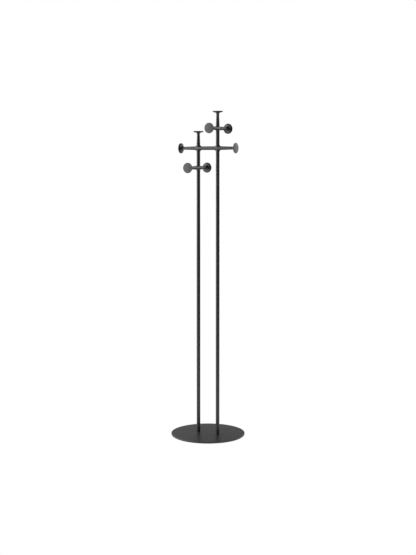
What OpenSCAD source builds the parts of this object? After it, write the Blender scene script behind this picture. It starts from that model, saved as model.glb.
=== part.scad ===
// Standing coat rack: two round posts on a round steel base, a crossbar between them,
// one arm through each post, and a trumpet-shaped hook on every free end.
// The origin is at the centre of the underside. X runs along the crossbar and Z is up.
// The front is towards -Y, and left is towards -X.

/* [Base] */
// Diameter of the base plate
base_d = 400; // [320:5:480]
// Thickness of the base plate
base_t = 8; // [6:0.5:12]
// Rounding of the base plate's edges
base_edge = 1.2; // [0.4:0.1:2]
// Thickness of the soft floor pad under the base plate
pad_t = 2; // [1:0.25:4]
// Step from the plate's edge in to the pad's edge
pad_inset = 3; // [1:0.5:10]

/* [Posts and hubs] */
// Height of the rack from the floor to the highest hook
rack_h = 1760; // [1400:10:1900]
// Distance between the axes of the two posts
post_gap = 121; // [100:1:200]
// Height from one tier of hooks to the next
tier_h = 106; // [90:1:160]
// Outside diameter of the posts and the other tubes
tube_d = 20; // [18:0.5:24]
// Wall of the tubes
tube_wall = 2; // [1.5:0.1:2.5]
// Distance from a hub's centre to the end of each of its four stubs
hub_half = 24; // [21:0.5:30]
// Inner radius of the fillets between a hub's stubs
hub_fillet = 13; // [6:0.5:13]
// Depth to which a hub's spigot enters a tube
spigot_l = 12; // [8:1:20]
// Bevel on the ends of tubes, hubs and hooks, which leaves a fine groove at each joint
joint_bevel = 0.8; // [0.2:0.1:1]

/* [Hooks] */
// Distance from a hub's centre to the face of a short hook
short_reach = 93; // [80:1:120]
// Distance from a hub's centre to the face of a long hook
long_reach = 113; // [100:1:140]
// Diameter of a hook's round face
face_d = 56; // [46:1:70]
// Thickness of the face at its rim
rim_t = 4; // [3:0.25:6]
// Rounding of the rim's edges
rim_edge = 1; // [0.4:0.1:1.4]
// Slope of the face's underside, in degrees
underside_slope = 17; // [8:1:24]
// Radius of the curve from the underside to the neck
throat_r = 10; // [6:0.5:12]
// Diameter of the neck at its thin end, behind the face
neck_d = 16; // [14:0.5:18]

/* [Fasteners] */
// Diameter of the tie rods and the hook studs
rod_d = 8; // [6:1:8]
// Diameter of the screws that hold the posts to the base
screw_d = 10; // [8:1:10]
// Length of the plugs fixed inside the post ends
plug_l = 24; // [18:1:40]
// Radial gap between two parts that screw or press together
fit_gap = 0.05; // [0.02:0.01:0.1]
// Radial gap round a part that passes through freely
free_gap = 0.3; // [0.2:0.05:0.5]

/* [Hidden] */
$fn = 96;
tube_r = tube_d / 2;
tube_bore_r = tube_r - tube_wall;
plate_top = pad_t + base_t;
left_x = -post_gap / 2;
right_x = post_gap / 2;
// The tiers of hooks, from the highest hook face down
upper_z = rack_h - short_reach;
crossbar_z = upper_z - tier_h;
lower_z = crossbar_z - tier_h;
left_post_top = lower_z - hub_half;
right_post_top = crossbar_z - hub_half;
spacer_l = tier_h - 2 * hub_half;
crossbar_l = post_gap - 2 * hub_half;
// The elbows that fillet a hub end before the bevels of its stubs. They are a touch thinner than
// the stubs, so that no two faces coincide.
elbow_bend_r = min(tube_r + hub_fillet, hub_half - joint_bevel);
elbow_r = tube_r - 0.1;
// Threaded ends
thread_l = 15;
thread_end_gap = 1.5;
hook_bore_l = 2 * thread_l;
plug_drop = spigot_l + 2;
rod_l = plug_drop + plug_l + 4 * hub_half + spacer_l + hook_bore_l - thread_end_gap;
// The base screws
screw_head_d = 2 * screw_d;
screw_head_h = (screw_head_d - screw_d) / 2;
screw_sink = 0.3;
screw_l = base_t + plug_l - 4;
screw_key_d = 0.7 * screw_d;
pad_hole_d = screw_head_d + 4;
// Small bevel on the ends of rods, studs and spigots
end_bevel = 0.8;
arc_steps = 12;
black = "#1d1d1f";
zinc = "#b4b7ba";
rubber = "#2b2b2b";

// Points along an arc about centre c, from angle a0 to a1
function arc(c, r, a0, a1, steps = arc_steps) =
    [for (i = [0:steps]) let (a = a0 + (a1 - a0) * i / steps) [c[0] + r * cos(a), c[1] + r * sin(a)]];

// A flat disc standing on z = 0, with rounded edges
module rounded_disc(d, t, edge) {
    rotate_extrude() polygon(concat(
        [[0, 0]],
        arc([d / 2 - edge, edge], edge, -90, 0),
        arc([d / 2 - edge, t - edge], edge, 0, 90),
        [[0, t]]
    ));
}

// A rod standing on z = 0, with both ends bevelled
module bevelled_rod(r, l, bevel = end_bevel) {
    rotate_extrude() polygon([[0, 0], [r - bevel, 0], [r, bevel], [r, l - bevel], [r - bevel, l], [0, l]]);
}

// A plain tube standing on z = 0
module tube(l) {
    difference() {
        bevelled_rod(tube_r, l, joint_bevel);
        translate([0, 0, -1]) cylinder(h = l + 2, r = tube_bore_r);
    }
}

// A threaded plug standing on z = 0, fixed inside a tube
module plug(bore_d) {
    difference() {
        bevelled_rod(tube_bore_r - fit_gap, plug_l);
        translate([0, 0, -1]) cylinder(h = plug_l + 2, r = bore_d / 2 + fit_gap);
    }
}

// Turns a shape that stands along +Z to one of a hub's four stubs, in the XZ plane
module to_stub(side) {
    turn = side == "top" ? 0 : side == "right" ? 90 : side == "bottom" ? 180 : 270;
    rotate([0, turn, 0]) children();
}

// A four-way hub in the XZ plane, with its centre at the origin. The tie rod passes through
// it from bottom to top. Spigots enter the tubes, and studs screw into the tapped sides.
module hub(spigots, tapped) {
    difference() {
        union() {
            for (turn = [0, 90]) rotate([0, turn, 0])
                translate([0, 0, -hub_half]) bevelled_rod(tube_r, 2 * hub_half, joint_bevel);
            for (turn = [0:90:270]) rotate([0, turn, 0])
                translate([elbow_bend_r, 0, elbow_bend_r]) rotate([90, 0, 0]) rotate([0, 0, 180])
                rotate_extrude(angle = 90) translate([elbow_bend_r, 0]) circle(r = elbow_r);
            for (side = spigots) to_stub(side)
                bevelled_rod(tube_bore_r - fit_gap, hub_half + spigot_l);
        }
        cylinder(h = 2 * (hub_half + spigot_l) + 2, r = rod_d / 2 + free_gap, center = true);
        for (side = tapped) to_stub(side)
            translate([0, 0, hub_half - thread_l]) cylinder(h = thread_l + 1, r = rod_d / 2 + fit_gap);
    }
}

// A trumpet-shaped hook. It stands along +Z from the end of a hub's stub to its face, with a
// tapped hole in its neck.
module hook(reach) {
    face_r = face_d / 2;
    neck_r = neck_d / 2;
    rim_z = reach - rim_t;
    slope = tan(underside_slope);
    throat_x = neck_r + throat_r;
    throat_z = rim_z - (face_r - throat_x) * slope - throat_r / cos(underside_slope);
    difference() {
        rotate_extrude() polygon(concat(
            [[0, hub_half], [tube_r - joint_bevel, hub_half], [tube_r, hub_half + joint_bevel]],
            arc([throat_x, throat_z], throat_r, 180, 90 - underside_slope),
            arc([face_r - rim_edge, rim_z + rim_edge], rim_edge, -90 + underside_slope, 0, 4),
            arc([face_r - rim_edge, reach - rim_edge], rim_edge, 0, 90, 4),
            [[0, reach]]
        ));
        translate([0, 0, hub_half - 1]) cylinder(h = hook_bore_l + 1, r = rod_d / 2 + fit_gap);
    }
}

module at_hub(x, z) {
    translate([x, 0, z]) children();
}

// Turns the XZ plane of a hub to the YZ plane of an arm: right becomes the rear
module across() {
    rotate([0, 0, 90]) children();
}

// --- Base ---

module floor_pad() {
    color(rubber) difference() {
        cylinder(h = pad_t, r = base_d / 2 - pad_inset);
        for (x = [left_x, right_x])
            translate([x, 0, -1]) cylinder(h = pad_t + 2, r = pad_hole_d / 2);
    }
}

module base_plate() {
    color(black) difference() {
        translate([0, 0, pad_t]) rounded_disc(base_d, base_t, base_edge);
        for (x = [left_x, right_x]) translate([x, 0, pad_t]) {
            translate([0, 0, -1]) cylinder(h = base_t + 2, r = screw_d / 2 + free_gap);
            // The countersink, which starts 1 mm below the plate
            translate([0, 0, screw_sink - 1]) cylinder(
                h = screw_head_h + 1,
                r1 = screw_head_d / 2 + free_gap + 1,
                r2 = screw_d / 2 + free_gap
            );
        }
    }
}

module base_screws() {
    color(zinc) for (x = [left_x, right_x]) translate([x, 0, pad_t + screw_sink]) difference() {
        rotate_extrude() polygon([
            [0, 0], [screw_head_d / 2, 0], [screw_d / 2, screw_head_h],
            [screw_d / 2, screw_l - end_bevel], [screw_d / 2 - end_bevel, screw_l], [0, screw_l]
        ]);
        translate([0, 0, -1]) cylinder(h = screw_head_h, r = screw_key_d / 2, $fn = 6);
    }
}

// --- Posts ---

module left_post() {
    color(black) translate([left_x, 0, plate_top]) tube(left_post_top - plate_top);
}

module right_post() {
    color(black) translate([right_x, 0, plate_top]) tube(right_post_top - plate_top);
}

module left_foot_plug() {
    color(zinc) translate([left_x, 0, plate_top]) plug(screw_d);
}

module right_foot_plug() {
    color(zinc) translate([right_x, 0, plate_top]) plug(screw_d);
}

module left_top_plug() {
    color(zinc) translate([left_x, 0, left_post_top - plug_drop - plug_l]) plug(rod_d);
}

module right_top_plug() {
    color(zinc) translate([right_x, 0, right_post_top - plug_drop - plug_l]) plug(rod_d);
}

// --- Hubs and the tubes between them ---

module lower_arm_hub() {
    color(black) at_hub(left_x, lower_z) across() hub(["top", "bottom"], ["left", "right"]);
}

module crossbar_left_hub() {
    color(black) at_hub(left_x, crossbar_z) hub(["bottom", "right"], ["left"]);
}

module crossbar_right_hub() {
    color(black) at_hub(right_x, crossbar_z) hub(["top", "bottom", "left"], ["right"]);
}

module upper_arm_hub() {
    color(black) at_hub(right_x, upper_z) across() hub(["bottom"], ["left", "right"]);
}

module left_spacer_tube() {
    color(black) translate([left_x, 0, lower_z + hub_half]) tube(spacer_l);
}

module right_spacer_tube() {
    color(black) translate([right_x, 0, crossbar_z + hub_half]) tube(spacer_l);
}

module crossbar_tube() {
    color(black) at_hub(left_x + hub_half, crossbar_z) rotate([0, 90, 0]) tube(crossbar_l);
}

// --- Hooks ---

module left_top_hook() {
    color(black) at_hub(left_x, crossbar_z) hook(short_reach);
}

module right_top_hook() {
    color(black) at_hub(right_x, upper_z) hook(short_reach);
}

module crossbar_left_hook() {
    color(black) at_hub(left_x, crossbar_z) to_stub("left") hook(long_reach);
}

module crossbar_right_hook() {
    color(black) at_hub(right_x, crossbar_z) to_stub("right") hook(long_reach);
}

module upper_front_hook() {
    color(black) at_hub(right_x, upper_z) across() to_stub("left") hook(short_reach);
}

module upper_rear_hook() {
    color(black) at_hub(right_x, upper_z) across() to_stub("right") hook(long_reach);
}

module lower_front_hook() {
    color(black) at_hub(left_x, lower_z) across() to_stub("left") hook(long_reach);
}

module lower_rear_hook() {
    color(black) at_hub(left_x, lower_z) across() to_stub("right") hook(short_reach);
}

// --- Rods and studs ---

module left_tie_rod() {
    color(zinc) translate([left_x, 0, left_post_top - plug_drop - plug_l]) bevelled_rod(rod_d / 2, rod_l);
}

module right_tie_rod() {
    color(zinc) translate([right_x, 0, right_post_top - plug_drop - plug_l]) bevelled_rod(rod_d / 2, rod_l);
}

// One stud, which joins a hub's tapped stub to a hook's neck
module stud() {
    translate([0, 0, hub_half - thread_l + thread_end_gap]) bevelled_rod(rod_d / 2, 2 * thread_l);
}

module hook_studs() {
    color(zinc) {
        at_hub(left_x, crossbar_z) to_stub("left") stud();
        at_hub(right_x, crossbar_z) to_stub("right") stud();
        for (side = ["left", "right"]) {
            at_hub(left_x, lower_z) across() to_stub(side) stud();
            at_hub(right_x, upper_z) across() to_stub(side) stud();
        }
    }
}

floor_pad();
base_plate();
base_screws();
left_foot_plug();
right_foot_plug();
left_post();
right_post();
left_top_plug();
right_top_plug();
lower_arm_hub();
crossbar_left_hub();
crossbar_right_hub();
upper_arm_hub();
left_spacer_tube();
right_spacer_tube();
crossbar_tube();
left_top_hook();
right_top_hook();
crossbar_left_hook();
crossbar_right_hook();
upper_front_hook();
upper_rear_hook();
lower_front_hook();
lower_rear_hook();
left_tie_rod();
right_tie_rod();
hook_studs();
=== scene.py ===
import math

import bmesh
import bpy
from mathutils import Matrix, Vector


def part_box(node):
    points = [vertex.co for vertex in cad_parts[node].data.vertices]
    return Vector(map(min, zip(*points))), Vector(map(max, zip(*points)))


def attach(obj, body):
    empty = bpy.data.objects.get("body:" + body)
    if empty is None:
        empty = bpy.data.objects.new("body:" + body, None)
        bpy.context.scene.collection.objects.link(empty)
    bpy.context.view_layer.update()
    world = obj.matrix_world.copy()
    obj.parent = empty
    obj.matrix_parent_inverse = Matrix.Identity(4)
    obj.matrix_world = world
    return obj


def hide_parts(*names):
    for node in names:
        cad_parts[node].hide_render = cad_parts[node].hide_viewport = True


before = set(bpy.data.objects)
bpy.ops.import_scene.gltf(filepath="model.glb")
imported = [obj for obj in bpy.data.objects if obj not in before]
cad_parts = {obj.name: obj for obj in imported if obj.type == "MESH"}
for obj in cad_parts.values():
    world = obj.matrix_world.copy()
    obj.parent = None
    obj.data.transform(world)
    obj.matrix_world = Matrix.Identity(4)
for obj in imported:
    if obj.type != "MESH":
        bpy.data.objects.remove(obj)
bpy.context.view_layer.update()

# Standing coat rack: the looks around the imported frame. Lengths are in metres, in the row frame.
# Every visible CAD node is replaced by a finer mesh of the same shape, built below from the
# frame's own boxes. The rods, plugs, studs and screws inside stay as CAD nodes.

MM = 0.001
BODY = "root"
PIECE_SUFFIX = "_finished"

# --- Sizes that the frame's boxes don't give ---

TUBE_R = 10 * MM
BORE_R = 8 * MM
SPIGOT_R = BORE_R - 0.05 * MM
SPIGOT_L = 12 * MM
HUB_HALF = 24 * MM
HUB_FILLET = 13 * MM
JOINT_BEVEL = 0.8 * MM
ROD_R = 4 * MM
TAPPED_R = ROD_R + 0.05 * MM
CLEAR_R = ROD_R + 0.3 * MM
THREAD_L = 15 * MM
HOOK_BORE_L = 30 * MM
FACE_R = 28 * MM
RIM_T = 4 * MM
RIM_EDGE = 1 * MM
UNDERSIDE_SLOPE = math.radians(17)
THROAT_R = 10 * MM
NECK_R = 8 * MM
PLATE_EDGE = 1.2 * MM
SCREW_HOLE_R = 5.3 * MM
SCREW_HEAD_R = 10.3 * MM
SCREW_SINK = 0.3 * MM
END_BEVEL = 0.8 * MM
PAD_HOLE_R = 12 * MM

# How finely the round shapes are divided
AROUND = 96
AROUND_BASE = 320
ARC_STEPS = 10
THROAT_STEPS = 24
RIM_STEPS = 6
NECK_STEPS = 12
STUB_STEPS = 10
FILLET_STEPS = 14
SHARP_ANGLE = math.radians(35)


# --- Camera ---

def make_camera(azimuth, distance, height, pitch, lens, shift):
    """A camera that looks at the rack's axis from the given azimuth, in degrees, tilted down by pitch."""
    data = bpy.data.cameras.new("camera")
    data.sensor_width = 36
    data.lens = lens
    data.shift_y = shift
    camera = bpy.data.objects.new("camera", data)
    bpy.context.collection.objects.link(camera)
    turn = math.radians(azimuth)
    camera.location = (math.sin(turn) * distance, -math.cos(turn) * distance, height)
    camera.rotation_euler = (math.radians(90 - pitch), 0, turn)
    bpy.context.scene.camera = camera


CAMERA_AZIMUTH = 30.68
make_camera(CAMERA_AZIMUTH, distance=5.91, height=1.529, pitch=3.0, lens=70.97, shift=-0.119)


# --- Materials ---

def new_material(name):
    """A material with nodes, its shader and its node tree."""
    material = bpy.data.materials.new(name)
    material.use_nodes = True
    tree = material.node_tree
    return material, tree, tree.nodes["Principled BSDF"]


def add_noise(tree, size, detail, roughness=0.5, stretch=(1, 1, 1)):
    """3-D noise with features of about the given size, in metres."""
    place = tree.nodes.new("ShaderNodeTexCoord")
    scale = tree.nodes.new("ShaderNodeMapping")
    scale.inputs["Scale"].default_value = stretch
    noise = tree.nodes.new("ShaderNodeTexNoise")
    noise.inputs["Scale"].default_value = 1 / size
    noise.inputs["Detail"].default_value = detail
    noise.inputs["Roughness"].default_value = roughness
    tree.links.new(place.outputs["Object"], scale.inputs["Vector"])
    tree.links.new(scale.outputs["Vector"], noise.inputs["Vector"])
    return noise.outputs["Fac"]


def add_range(tree, value, low, high):
    """Maps a noise value to the range from low to high."""
    ranged = tree.nodes.new("ShaderNodeMapRange")
    ranged.inputs["From Min"].default_value = 0.3
    ranged.inputs["From Max"].default_value = 0.7
    ranged.inputs["To Min"].default_value = low
    ranged.inputs["To Max"].default_value = high
    tree.links.new(value, ranged.inputs["Value"])
    return ranged.outputs["Result"]


def add_colours(tree, value, dark, light):
    """Maps a noise value to a colour between dark and light."""
    ramp = tree.nodes.new("ShaderNodeValToRGB")
    ramp.color_ramp.elements[0].position = 0.35
    ramp.color_ramp.elements[0].color = (*dark, 1)
    ramp.color_ramp.elements[1].position = 0.65
    ramp.color_ramp.elements[1].color = (*light, 1)
    tree.links.new(value, ramp.inputs["Fac"])
    return ramp.outputs["Color"]


def add_bump(tree, shader, heights):
    """Chains one bump node for each (value, height in metres), and joins the last to the shader."""
    normal = None
    for value, height in heights:
        bump = tree.nodes.new("ShaderNodeBump")
        bump.inputs["Strength"].default_value = 1
        bump.inputs["Distance"].default_value = height
        tree.links.new(value, bump.inputs["Height"])
        if normal is not None:
            tree.links.new(normal, bump.inputs["Normal"])
        normal = bump.outputs["Normal"]
    tree.links.new(normal, shader.inputs["Normal"])


def powder_coat(name):
    """Black satin powder coat: a fine orange peel, a finer grain, and a tone that barely varies."""
    material, tree, shader = new_material(name)
    grain = add_noise(tree, 0.5 * MM, 3)
    peel = add_noise(tree, 2.2 * MM, 2)
    tone = add_noise(tree, 35 * MM, 3)
    colour = add_colours(tree, grain, (0.0100, 0.0100, 0.0105), (0.0135, 0.0135, 0.0142))
    tree.links.new(colour, shader.inputs["Base Color"])
    tree.links.new(add_range(tree, tone, 0.37, 0.43), shader.inputs["Roughness"])
    shader.inputs["IOR"].default_value = 1.5
    add_bump(tree, shader, [(peel, 0.035 * MM), (grain, 0.012 * MM)])
    return material


def zinc_steel(name):
    """Bright zinc-plated steel with fine turned marks and a cloudy tone."""
    material, tree, shader = new_material(name)
    cloud = add_noise(tree, 9 * MM, 4)
    marks = add_noise(tree, 0.6 * MM, 2, stretch=(0.15, 0.15, 4))
    colour = add_colours(tree, cloud, (0.50, 0.51, 0.54), (0.66, 0.67, 0.68))
    tree.links.new(colour, shader.inputs["Base Color"])
    tree.links.new(add_range(tree, cloud, 0.26, 0.4), shader.inputs["Roughness"])
    shader.inputs["Metallic"].default_value = 1
    add_bump(tree, shader, [(marks, 0.01 * MM)])
    return material


def soft_rubber(name):
    """Matt black rubber with a fine pebbled surface."""
    material, tree, shader = new_material(name)
    pebble = add_noise(tree, 1.1 * MM, 2)
    dust = add_noise(tree, 28 * MM, 4)
    colour = add_colours(tree, dust, (0.012, 0.012, 0.012), (0.022, 0.021, 0.020))
    tree.links.new(colour, shader.inputs["Base Color"])
    tree.links.new(add_range(tree, pebble, 0.72, 0.88), shader.inputs["Roughness"])
    add_bump(tree, shader, [(pebble, 0.12 * MM)])
    return material


COAT = powder_coat("powder_coat")
COAT_CAST = powder_coat("powder_coat_cast")
ZINC = zinc_steel("zinc_plated_steel")
RUBBER = soft_rubber("rubber")


# --- Mesh building ---

def arc(centre, radius, start, end, steps=ARC_STEPS):
    """Points of an arc in a profile, as (radius, height), with its angles in degrees."""
    angles = [math.radians(start + (end - start) * i / steps) for i in range(steps + 1)]
    return [(centre[0] + radius * math.cos(a), centre[1] + radius * math.sin(a)) for a in angles]


def ring(radius, height, around):
    """Points of a horizontal circle."""
    turns = [2 * math.pi * i / around for i in range(around)]
    return [Vector((radius * math.cos(t), radius * math.sin(t), height)) for t in turns]


def bridge(bm, low, high):
    """Quads between two closed loops of vertices."""
    count = len(low)
    for i in range(count):
        j = (i + 1) % count
        bm.faces.new((low[i], low[j], high[j], high[i]))


def lathe_mesh(bm, profile, around):
    """Turns a closed profile round the Z axis. Points with no radius become one vertex on the axis."""
    loops = []
    for radius, height in profile:
        if radius < 1e-7:
            loops.append([bm.verts.new((0, 0, height))])
        else:
            loops.append([bm.verts.new(p) for p in ring(radius, height, around)])
    closed = all(len(loop) > 1 for loop in loops)
    pairs = list(zip(loops, loops[1:] + loops[:1])) if closed else list(zip(loops, loops[1:]))
    for low, high in pairs:
        if len(low) > 1 and len(high) > 1:
            bridge(bm, low, high)
            continue
        centre, edge = (low[0], high) if len(low) == 1 else (high[0], low)
        for i in range(around):
            bm.faces.new((centre, edge[i], edge[(i + 1) % around]))


def shade(mesh):
    """Shades a mesh smooth, apart from its sharp edges."""
    mesh.shade_smooth()
    mesh.set_sharp_from_angle(angle=SHARP_ANGLE)


def finish_piece(bm, node, material, place):
    """Makes an object of a bmesh, puts it in its place and lets it stand for its CAD node."""
    name = node + PIECE_SUFFIX
    bmesh.ops.transform(bm, matrix=place, verts=bm.verts)
    bmesh.ops.recalc_face_normals(bm, faces=bm.faces)
    mesh = bpy.data.meshes.new(name)
    bm.to_mesh(mesh)
    bm.free()
    shade(mesh)
    mesh.materials.append(material)
    piece = bpy.data.objects.new(name, mesh)
    bpy.context.collection.objects.link(piece)
    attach(piece, BODY)
    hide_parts(node)
    return piece


def lathe(node, profile, material, place, around=AROUND):
    bm = bmesh.new()
    lathe_mesh(bm, profile, around)
    return finish_piece(bm, node, material, place)


def centre_of(node):
    low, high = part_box(node)
    return (low + high) / 2


def move(x, y, z):
    return Matrix.Translation((x, y, z))


def turn_y(degrees):
    return Matrix.Rotation(math.radians(degrees), 4, "Y")


def turn_z(degrees):
    return Matrix.Rotation(math.radians(degrees), 4, "Z")


# --- Where the frame's axes are ---

LEFT_X = centre_of("left_post").x
RIGHT_X = centre_of("right_post").x
PLATE_LOW, PLATE_HIGH = (corner.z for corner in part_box("base_plate"))
PLATE_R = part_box("base_plate")[1].y
PAD_LOW, PAD_HIGH = (corner.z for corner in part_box("floor_pad"))
PAD_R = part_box("floor_pad")[1].y
CROSSBAR_Z = centre_of("crossbar_tube").z
LOWER_Z = centre_of("lower_front_hook").z
UPPER_Z = centre_of("upper_front_hook").z


# --- Tubes ---

def tube(node, place, length):
    """A tube with its ends bevelled, which stands along +Z from its place."""
    profile = [
        (BORE_R, 0), (TUBE_R - JOINT_BEVEL, 0), (TUBE_R, JOINT_BEVEL),
        (TUBE_R, length - JOINT_BEVEL), (TUBE_R - JOINT_BEVEL, length), (BORE_R, length),
    ]
    lathe(node, profile, COAT, place)


for node in ("left_post", "right_post", "left_spacer_tube", "right_spacer_tube"):
    low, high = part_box(node)
    tube(node, move(centre_of(node).x, 0, low.z), high.z - low.z)

crossbar_low, crossbar_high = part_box("crossbar_tube")
tube("crossbar_tube", move(crossbar_low.x, 0, CROSSBAR_Z) @ turn_y(90), crossbar_high.x - crossbar_low.x)


# --- Hubs ---

def hub_point(port, radius, along, turn):
    """A point of a hub's stub, at a turn round the stub's axis. The hub lies in the XZ plane."""
    side = 1 if port in ("right", "top") else -1
    wide = radius * math.cos(turn)
    deep = radius * math.sin(turn)
    return (side * along, deep, wide) if port in ("left", "right") else (wide, deep, side * along)


def hub_port(bm, port, kind, outer, turns):
    """Closes a stub's end, inwards from the loop round its outside. Returns its innermost loop."""
    def loop_at(radius, along):
        return [bm.verts.new(hub_point(port, radius, along, turn)) for turn in turns]

    steps = [(TUBE_R - JOINT_BEVEL, HUB_HALF)]
    if kind in ("spigot", "solid_spigot"):
        tip = HUB_HALF + SPIGOT_L
        steps += [(SPIGOT_R, HUB_HALF), (SPIGOT_R, tip - END_BEVEL), (SPIGOT_R - END_BEVEL, tip)]
    if kind == "spigot":
        steps += [(CLEAR_R, HUB_HALF + SPIGOT_L)]
    if kind == "plain":
        steps += [(CLEAR_R, HUB_HALF)]
    if kind == "tapped":
        steps += [(TAPPED_R, HUB_HALF), (TAPPED_R, HUB_HALF - THREAD_L)]
    last = outer
    for radius, along in steps:
        loop = loop_at(radius, along)
        bridge(bm, last, loop)
        last = loop
    if kind in ("solid_spigot", "tapped"):
        centre = bm.verts.new(hub_point(port, 0, steps[-1][1], 0))
        for i, corner in enumerate(last):
            bm.faces.new((centre, corner, last[(i + 1) % len(last)]))
    return last


def hub_fillet(bm, starts, x_port, z_port, half_loop):
    """The rolling-ball fillet between two stubs. It narrows to nothing at the hub's two poles."""
    x_side = 1 if x_port == "right" else -1
    z_side = 1 if z_port == "top" else -1
    loop = 2 * half_loop
    ball_r = TUBE_R + HUB_FILLET
    rows = []
    for i in range(half_loop + 1):
        x_vert = starts[x_port][i if z_side > 0 else -i % loop]
        z_vert = starts[z_port][i if x_side > 0 else -i % loop]
        if i in (0, half_loop):
            rows.append([x_vert])
            continue
        turn = math.pi * (i / half_loop - 0.5)
        wide = math.cos(turn)
        deep = math.sin(turn)
        ball = Vector((x_side * wide, deep, z_side * wide)) * ball_r
        to_x_stub = Vector((0, -deep, -z_side * wide))
        to_z_stub = Vector((-x_side * wide, -deep, 0))
        inner = [
            bm.verts.new(ball + HUB_FILLET * to_x_stub.slerp(to_z_stub, j / FILLET_STEPS))
            for j in range(1, FILLET_STEPS)
        ]
        rows.append([x_vert, *inner, z_vert])
    for near, far in zip(rows, rows[1:]):
        if len(near) > 1 and len(far) > 1:
            for j in range(FILLET_STEPS):
                bm.faces.new((near[j], near[j + 1], far[j + 1], far[j]))
            continue
        pole, edge = (near[0], far) if len(near) == 1 else (far[0], near)
        for j in range(FILLET_STEPS):
            bm.faces.new((pole, edge[j], edge[j + 1]))


def hub(node, place, ports):
    """A four-way hub. Ports says what each of its stubs ends in."""
    bm = bmesh.new()
    half_loop = AROUND // 2
    turns = [math.pi * (k / half_loop - 0.5) for k in range(2 * half_loop)]
    poles = {0: bm.verts.new((0, -TUBE_R, 0)), half_loop: bm.verts.new((0, TUBE_R, 0))}
    ball_r = TUBE_R + HUB_FILLET
    stub_end = HUB_HALF - JOINT_BEVEL
    starts = {}
    ends = {}
    for port, kind in ports.items():
        first = [ball_r * abs(math.cos(turn)) for turn in turns]
        rows = [[
            poles.get(k) or bm.verts.new(hub_point(port, TUBE_R, first[k], turn))
            for k, turn in enumerate(turns)
        ]]
        for step in range(1, STUB_STEPS + 1):
            share = step / STUB_STEPS
            rows.append([
                bm.verts.new(hub_point(port, TUBE_R, first[k] + (stub_end - first[k]) * share, turn))
                for k, turn in enumerate(turns)
            ])
            bridge(bm, rows[-2], rows[-1])
        starts[port] = rows[0]
        ends[port] = hub_port(bm, port, kind, rows[-1], turns)
    for x_port in ("right", "left"):
        for z_port in ("top", "bottom"):
            hub_fillet(bm, starts, x_port, z_port, half_loop)
    bridge(bm, ends["bottom"], ends["top"])
    finish_piece(bm, node, COAT_CAST, place)


hub("lower_arm_hub", move(LEFT_X, 0, LOWER_Z) @ turn_z(90),
    {"top": "spigot", "bottom": "spigot", "left": "tapped", "right": "tapped"})
hub("crossbar_left_hub", move(LEFT_X, 0, CROSSBAR_Z),
    {"top": "plain", "bottom": "spigot", "left": "tapped", "right": "solid_spigot"})
hub("crossbar_right_hub", move(RIGHT_X, 0, CROSSBAR_Z),
    {"top": "spigot", "bottom": "spigot", "left": "solid_spigot", "right": "tapped"})
hub("upper_arm_hub", move(RIGHT_X, 0, UPPER_Z) @ turn_z(90),
    {"top": "plain", "bottom": "spigot", "left": "tapped", "right": "tapped"})


# --- Hooks ---

def hook(node, place, reach):
    """A trumpet-shaped hook, which stands along +Z from the end of a hub's stub to its round face."""
    rim_z = reach - RIM_T
    slope = math.degrees(UNDERSIDE_SLOPE)
    throat_x = NECK_R + THROAT_R
    drop = (FACE_R - throat_x) * math.tan(UNDERSIDE_SLOPE)
    throat_z = rim_z - drop - THROAT_R / math.cos(UNDERSIDE_SLOPE)
    bore_end = HUB_HALF + HOOK_BORE_L
    neck_low = HUB_HALF + JOINT_BEVEL
    neck = [
        (TUBE_R + (NECK_R - TUBE_R) * i / NECK_STEPS, neck_low + (throat_z - neck_low) * i / NECK_STEPS)
        for i in range(NECK_STEPS)
    ]
    profile = [
        (0, bore_end), (TAPPED_R, bore_end), (TAPPED_R, HUB_HALF), (TUBE_R - JOINT_BEVEL, HUB_HALF),
        *neck,
        *arc((throat_x, throat_z), THROAT_R, 180, 90 - slope, THROAT_STEPS),
        *arc((FACE_R - RIM_EDGE, rim_z + RIM_EDGE), RIM_EDGE, slope - 90, 0, RIM_STEPS),
        *arc((FACE_R - RIM_EDGE, reach - RIM_EDGE), RIM_EDGE, 0, 90, RIM_STEPS),
        (0, reach),
    ]
    lathe(node, profile, COAT_CAST, place)


def hook_reach(node, axis, hub_at):
    """How far a hook's face is from its hub's centre, along one axis of the frame."""
    low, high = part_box(node)
    return max(abs(low[axis] - hub_at), abs(high[axis] - hub_at))


hook("left_top_hook", move(LEFT_X, 0, CROSSBAR_Z), hook_reach("left_top_hook", 2, CROSSBAR_Z))
hook("right_top_hook", move(RIGHT_X, 0, UPPER_Z), hook_reach("right_top_hook", 2, UPPER_Z))
for node, x, turn in (("crossbar_left_hook", LEFT_X, -90), ("crossbar_right_hook", RIGHT_X, 90)):
    hook(node, move(x, 0, CROSSBAR_Z) @ turn_y(turn), hook_reach(node, 0, x))
for tier, x, z in (("lower", LEFT_X, LOWER_Z), ("upper", RIGHT_X, UPPER_Z)):
    for end, turn in (("front", -90), ("rear", 90)):
        node = f"{tier}_{end}_hook"
        hook(node, move(x, 0, z) @ turn_z(90) @ turn_y(turn), hook_reach(node, 1, 0))


# --- Base ---

def cut_holes(piece, cutters):
    """Cuts the cutters out of a piece and removes them."""
    for cutter in cutters:
        cut = piece.modifiers.new("cut", "BOOLEAN")
        cut.operation = "DIFFERENCE"
        cut.solver = "EXACT"
        cut.object = cutter
    graph = bpy.context.evaluated_depsgraph_get()
    mesh = bpy.data.meshes.new_from_object(piece.evaluated_get(graph))
    shade(mesh)
    piece.modifiers.clear()
    piece.data = mesh
    for cutter in cutters:
        bpy.data.objects.remove(cutter)


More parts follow.
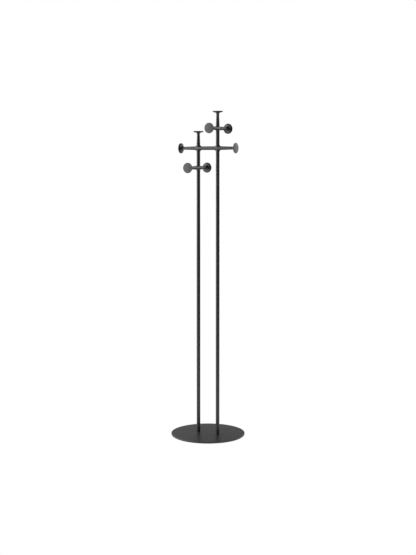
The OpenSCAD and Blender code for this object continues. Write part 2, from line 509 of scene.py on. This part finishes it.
def cutter_at(x, profile):
    """A round cutter on the axis of a post."""
    bm = bmesh.new()
    lathe_mesh(bm, profile, AROUND)
    bmesh.ops.transform(bm, matrix=move(x, 0, 0), verts=bm.verts)
    bmesh.ops.recalc_face_normals(bm, faces=bm.faces)
    mesh = bpy.data.meshes.new("cutter")
    bm.to_mesh(mesh)
    bm.free()
    cutter = bpy.data.objects.new("cutter", mesh)
    bpy.context.collection.objects.link(cutter)
    return cutter


def base_plate():
    """The steel plate, with rounded edges and a countersunk hole under each post."""
    edge_r = PLATE_R - PLATE_EDGE
    profile = [
        (0, PLATE_LOW),
        *arc((edge_r, PLATE_LOW + PLATE_EDGE), PLATE_EDGE, -90, 0),
        *arc((edge_r, PLATE_HIGH - PLATE_EDGE), PLATE_EDGE, 0, 90),
        (0, PLATE_HIGH),
    ]
    piece = lathe("base_plate", profile, COAT, Matrix.Identity(4), AROUND_BASE)
    sink_low = PLATE_LOW + SCREW_SINK
    sink_depth = SCREW_HEAD_R - SCREW_HOLE_R
    hole = [
        (0, PLATE_LOW - MM), (SCREW_HEAD_R, PLATE_LOW - MM), (SCREW_HEAD_R, sink_low),
        (SCREW_HOLE_R, sink_low + sink_depth), (SCREW_HOLE_R, PLATE_HIGH + MM), (0, PLATE_HIGH + MM),
    ]
    cut_holes(piece, [cutter_at(x, hole) for x in (LEFT_X, RIGHT_X)])


def floor_pad():
    """The rubber pad under the plate, with an access hole under each screw."""
    pad_edge = 0.4 * MM
    profile = [
        (0, PAD_LOW),
        *arc((PAD_R - pad_edge, PAD_LOW + pad_edge), pad_edge, -90, 0, RIM_STEPS),
        (PAD_R, PAD_HIGH),
        (0, PAD_HIGH),
    ]
    piece = lathe("floor_pad", profile, RUBBER, Matrix.Identity(4), AROUND_BASE)
    hole = [(0, PAD_LOW - MM), (PAD_HOLE_R, PAD_LOW - MM), (PAD_HOLE_R, PAD_HIGH + MM), (0, PAD_HIGH + MM)]
    cut_holes(piece, [cutter_at(x, hole) for x in (LEFT_X, RIGHT_X)])


base_plate()
floor_pad()


# --- The pieces inside, which keep their CAD shapes ---

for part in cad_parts.values():
    if not part.hide_render:
        for holder in part.material_slots:
            holder.link = "OBJECT"
            holder.material = ZINC


# --- Floor and light ---

def stage_glow(tree, cast):
    """A strength of 1 to the camera, which makes the set plain white, and of cast to all other rays."""
    rays = tree.nodes.new("ShaderNodeLightPath")
    strength = tree.nodes.new("ShaderNodeMix")
    strength.inputs["B"].default_value = 1
    if isinstance(cast, bpy.types.NodeSocket):
        tree.links.new(cast, strength.inputs["A"])
    else:
        strength.inputs["A"].default_value = cast
    tree.links.new(rays.outputs["Is Camera Ray"], strength.inputs["Factor"])
    return strength.outputs["Result"]


def pool_of_light(tree, level, core, reach):
    """A round pool of light on the floor, level up to its core radius and gone at its reach."""
    place = tree.nodes.new("ShaderNodeTexCoord")
    radius = tree.nodes.new("ShaderNodeVectorMath")
    radius.operation = "LENGTH"
    tree.links.new(place.outputs["Object"], radius.inputs[0])
    fade = tree.nodes.new("ShaderNodeMapRange")
    fade.interpolation_type = "SMOOTHSTEP"
    fade.inputs["From Min"].default_value = core
    fade.inputs["From Max"].default_value = reach
    fade.inputs["To Min"].default_value = level
    fade.inputs["To Max"].default_value = 0
    tree.links.new(radius.outputs["Value"], fade.inputs["Value"])
    return fade.outputs["Result"]


def white_floor(half):
    """A wide white sheet under the rack, lit round the rack only."""
    material = bpy.data.materials.new("floor_white")
    material.use_nodes = True
    tree = material.node_tree
    tree.nodes.clear()
    glow = tree.nodes.new("ShaderNodeEmission")
    pool = pool_of_light(tree, level=1.4, core=0.5, reach=4.5)
    tree.links.new(stage_glow(tree, pool), glow.inputs["Strength"])
    output = tree.nodes.new("ShaderNodeOutputMaterial")
    tree.links.new(glow.outputs["Emission"], output.inputs["Surface"])
    corners = [(-half, -half, 0), (half, -half, 0), (half, half, 0), (-half, half, 0)]
    mesh = bpy.data.meshes.new("floor")
    mesh.from_pydata(corners, [], [(0, 1, 2, 3)])
    mesh.materials.append(material)
    floor = bpy.data.objects.new("floor", mesh)
    bpy.context.collection.objects.link(floor)


def white_surround(cast):
    """The world beyond the floor."""
    world = bpy.data.worlds.new("surround")
    world.use_nodes = True
    background = world.node_tree.nodes["Background"]
    background.inputs["Color"].default_value = (1, 1, 1, 1)
    world.node_tree.links.new(stage_glow(world.node_tree, cast), background.inputs["Strength"])
    bpy.context.scene.world = world


def softbox(name, azimuth, distance, width, low, high, radiance):
    """An upright soft light. Its azimuth is from the camera's, and positive to the camera's right."""
    turn = math.radians(CAMERA_AZIMUTH + azimuth)
    height = high - low
    data = bpy.data.lights.new(name, "AREA")
    data.shape = "RECTANGLE"
    data.size = width
    data.size_y = height
    data.energy = radiance * math.pi * width * height
    light = bpy.data.objects.new(name, data)
    bpy.context.collection.objects.link(light)
    light.location = (math.sin(turn) * distance, -math.cos(turn) * distance, (low + high) / 2)
    light.rotation_euler = (math.radians(90), 0, turn)
    light.visible_camera = False


white_floor(half=30)
white_surround(cast=0.14)
softbox("key_left", azimuth=-76, distance=2.8, width=2.2, low=0.1, high=2.6, radiance=4.4)
softbox("key_high", azimuth=-92, distance=2.8, width=2.4, low=2.6, high=4.2, radiance=10)
softbox("wrap_left", azimuth=-142, distance=2.8, width=1.6, low=1, high=2.8, radiance=3.7)
softbox("fill_right", azimuth=118, distance=2.8, width=3, low=1.2, high=3.6, radiance=2.3)
softbox("low_back", azimuth=180, distance=4, width=3.5, low=0.1, high=3, radiance=0.25)
bpy.context.scene.view_settings.view_transform = "Standard"
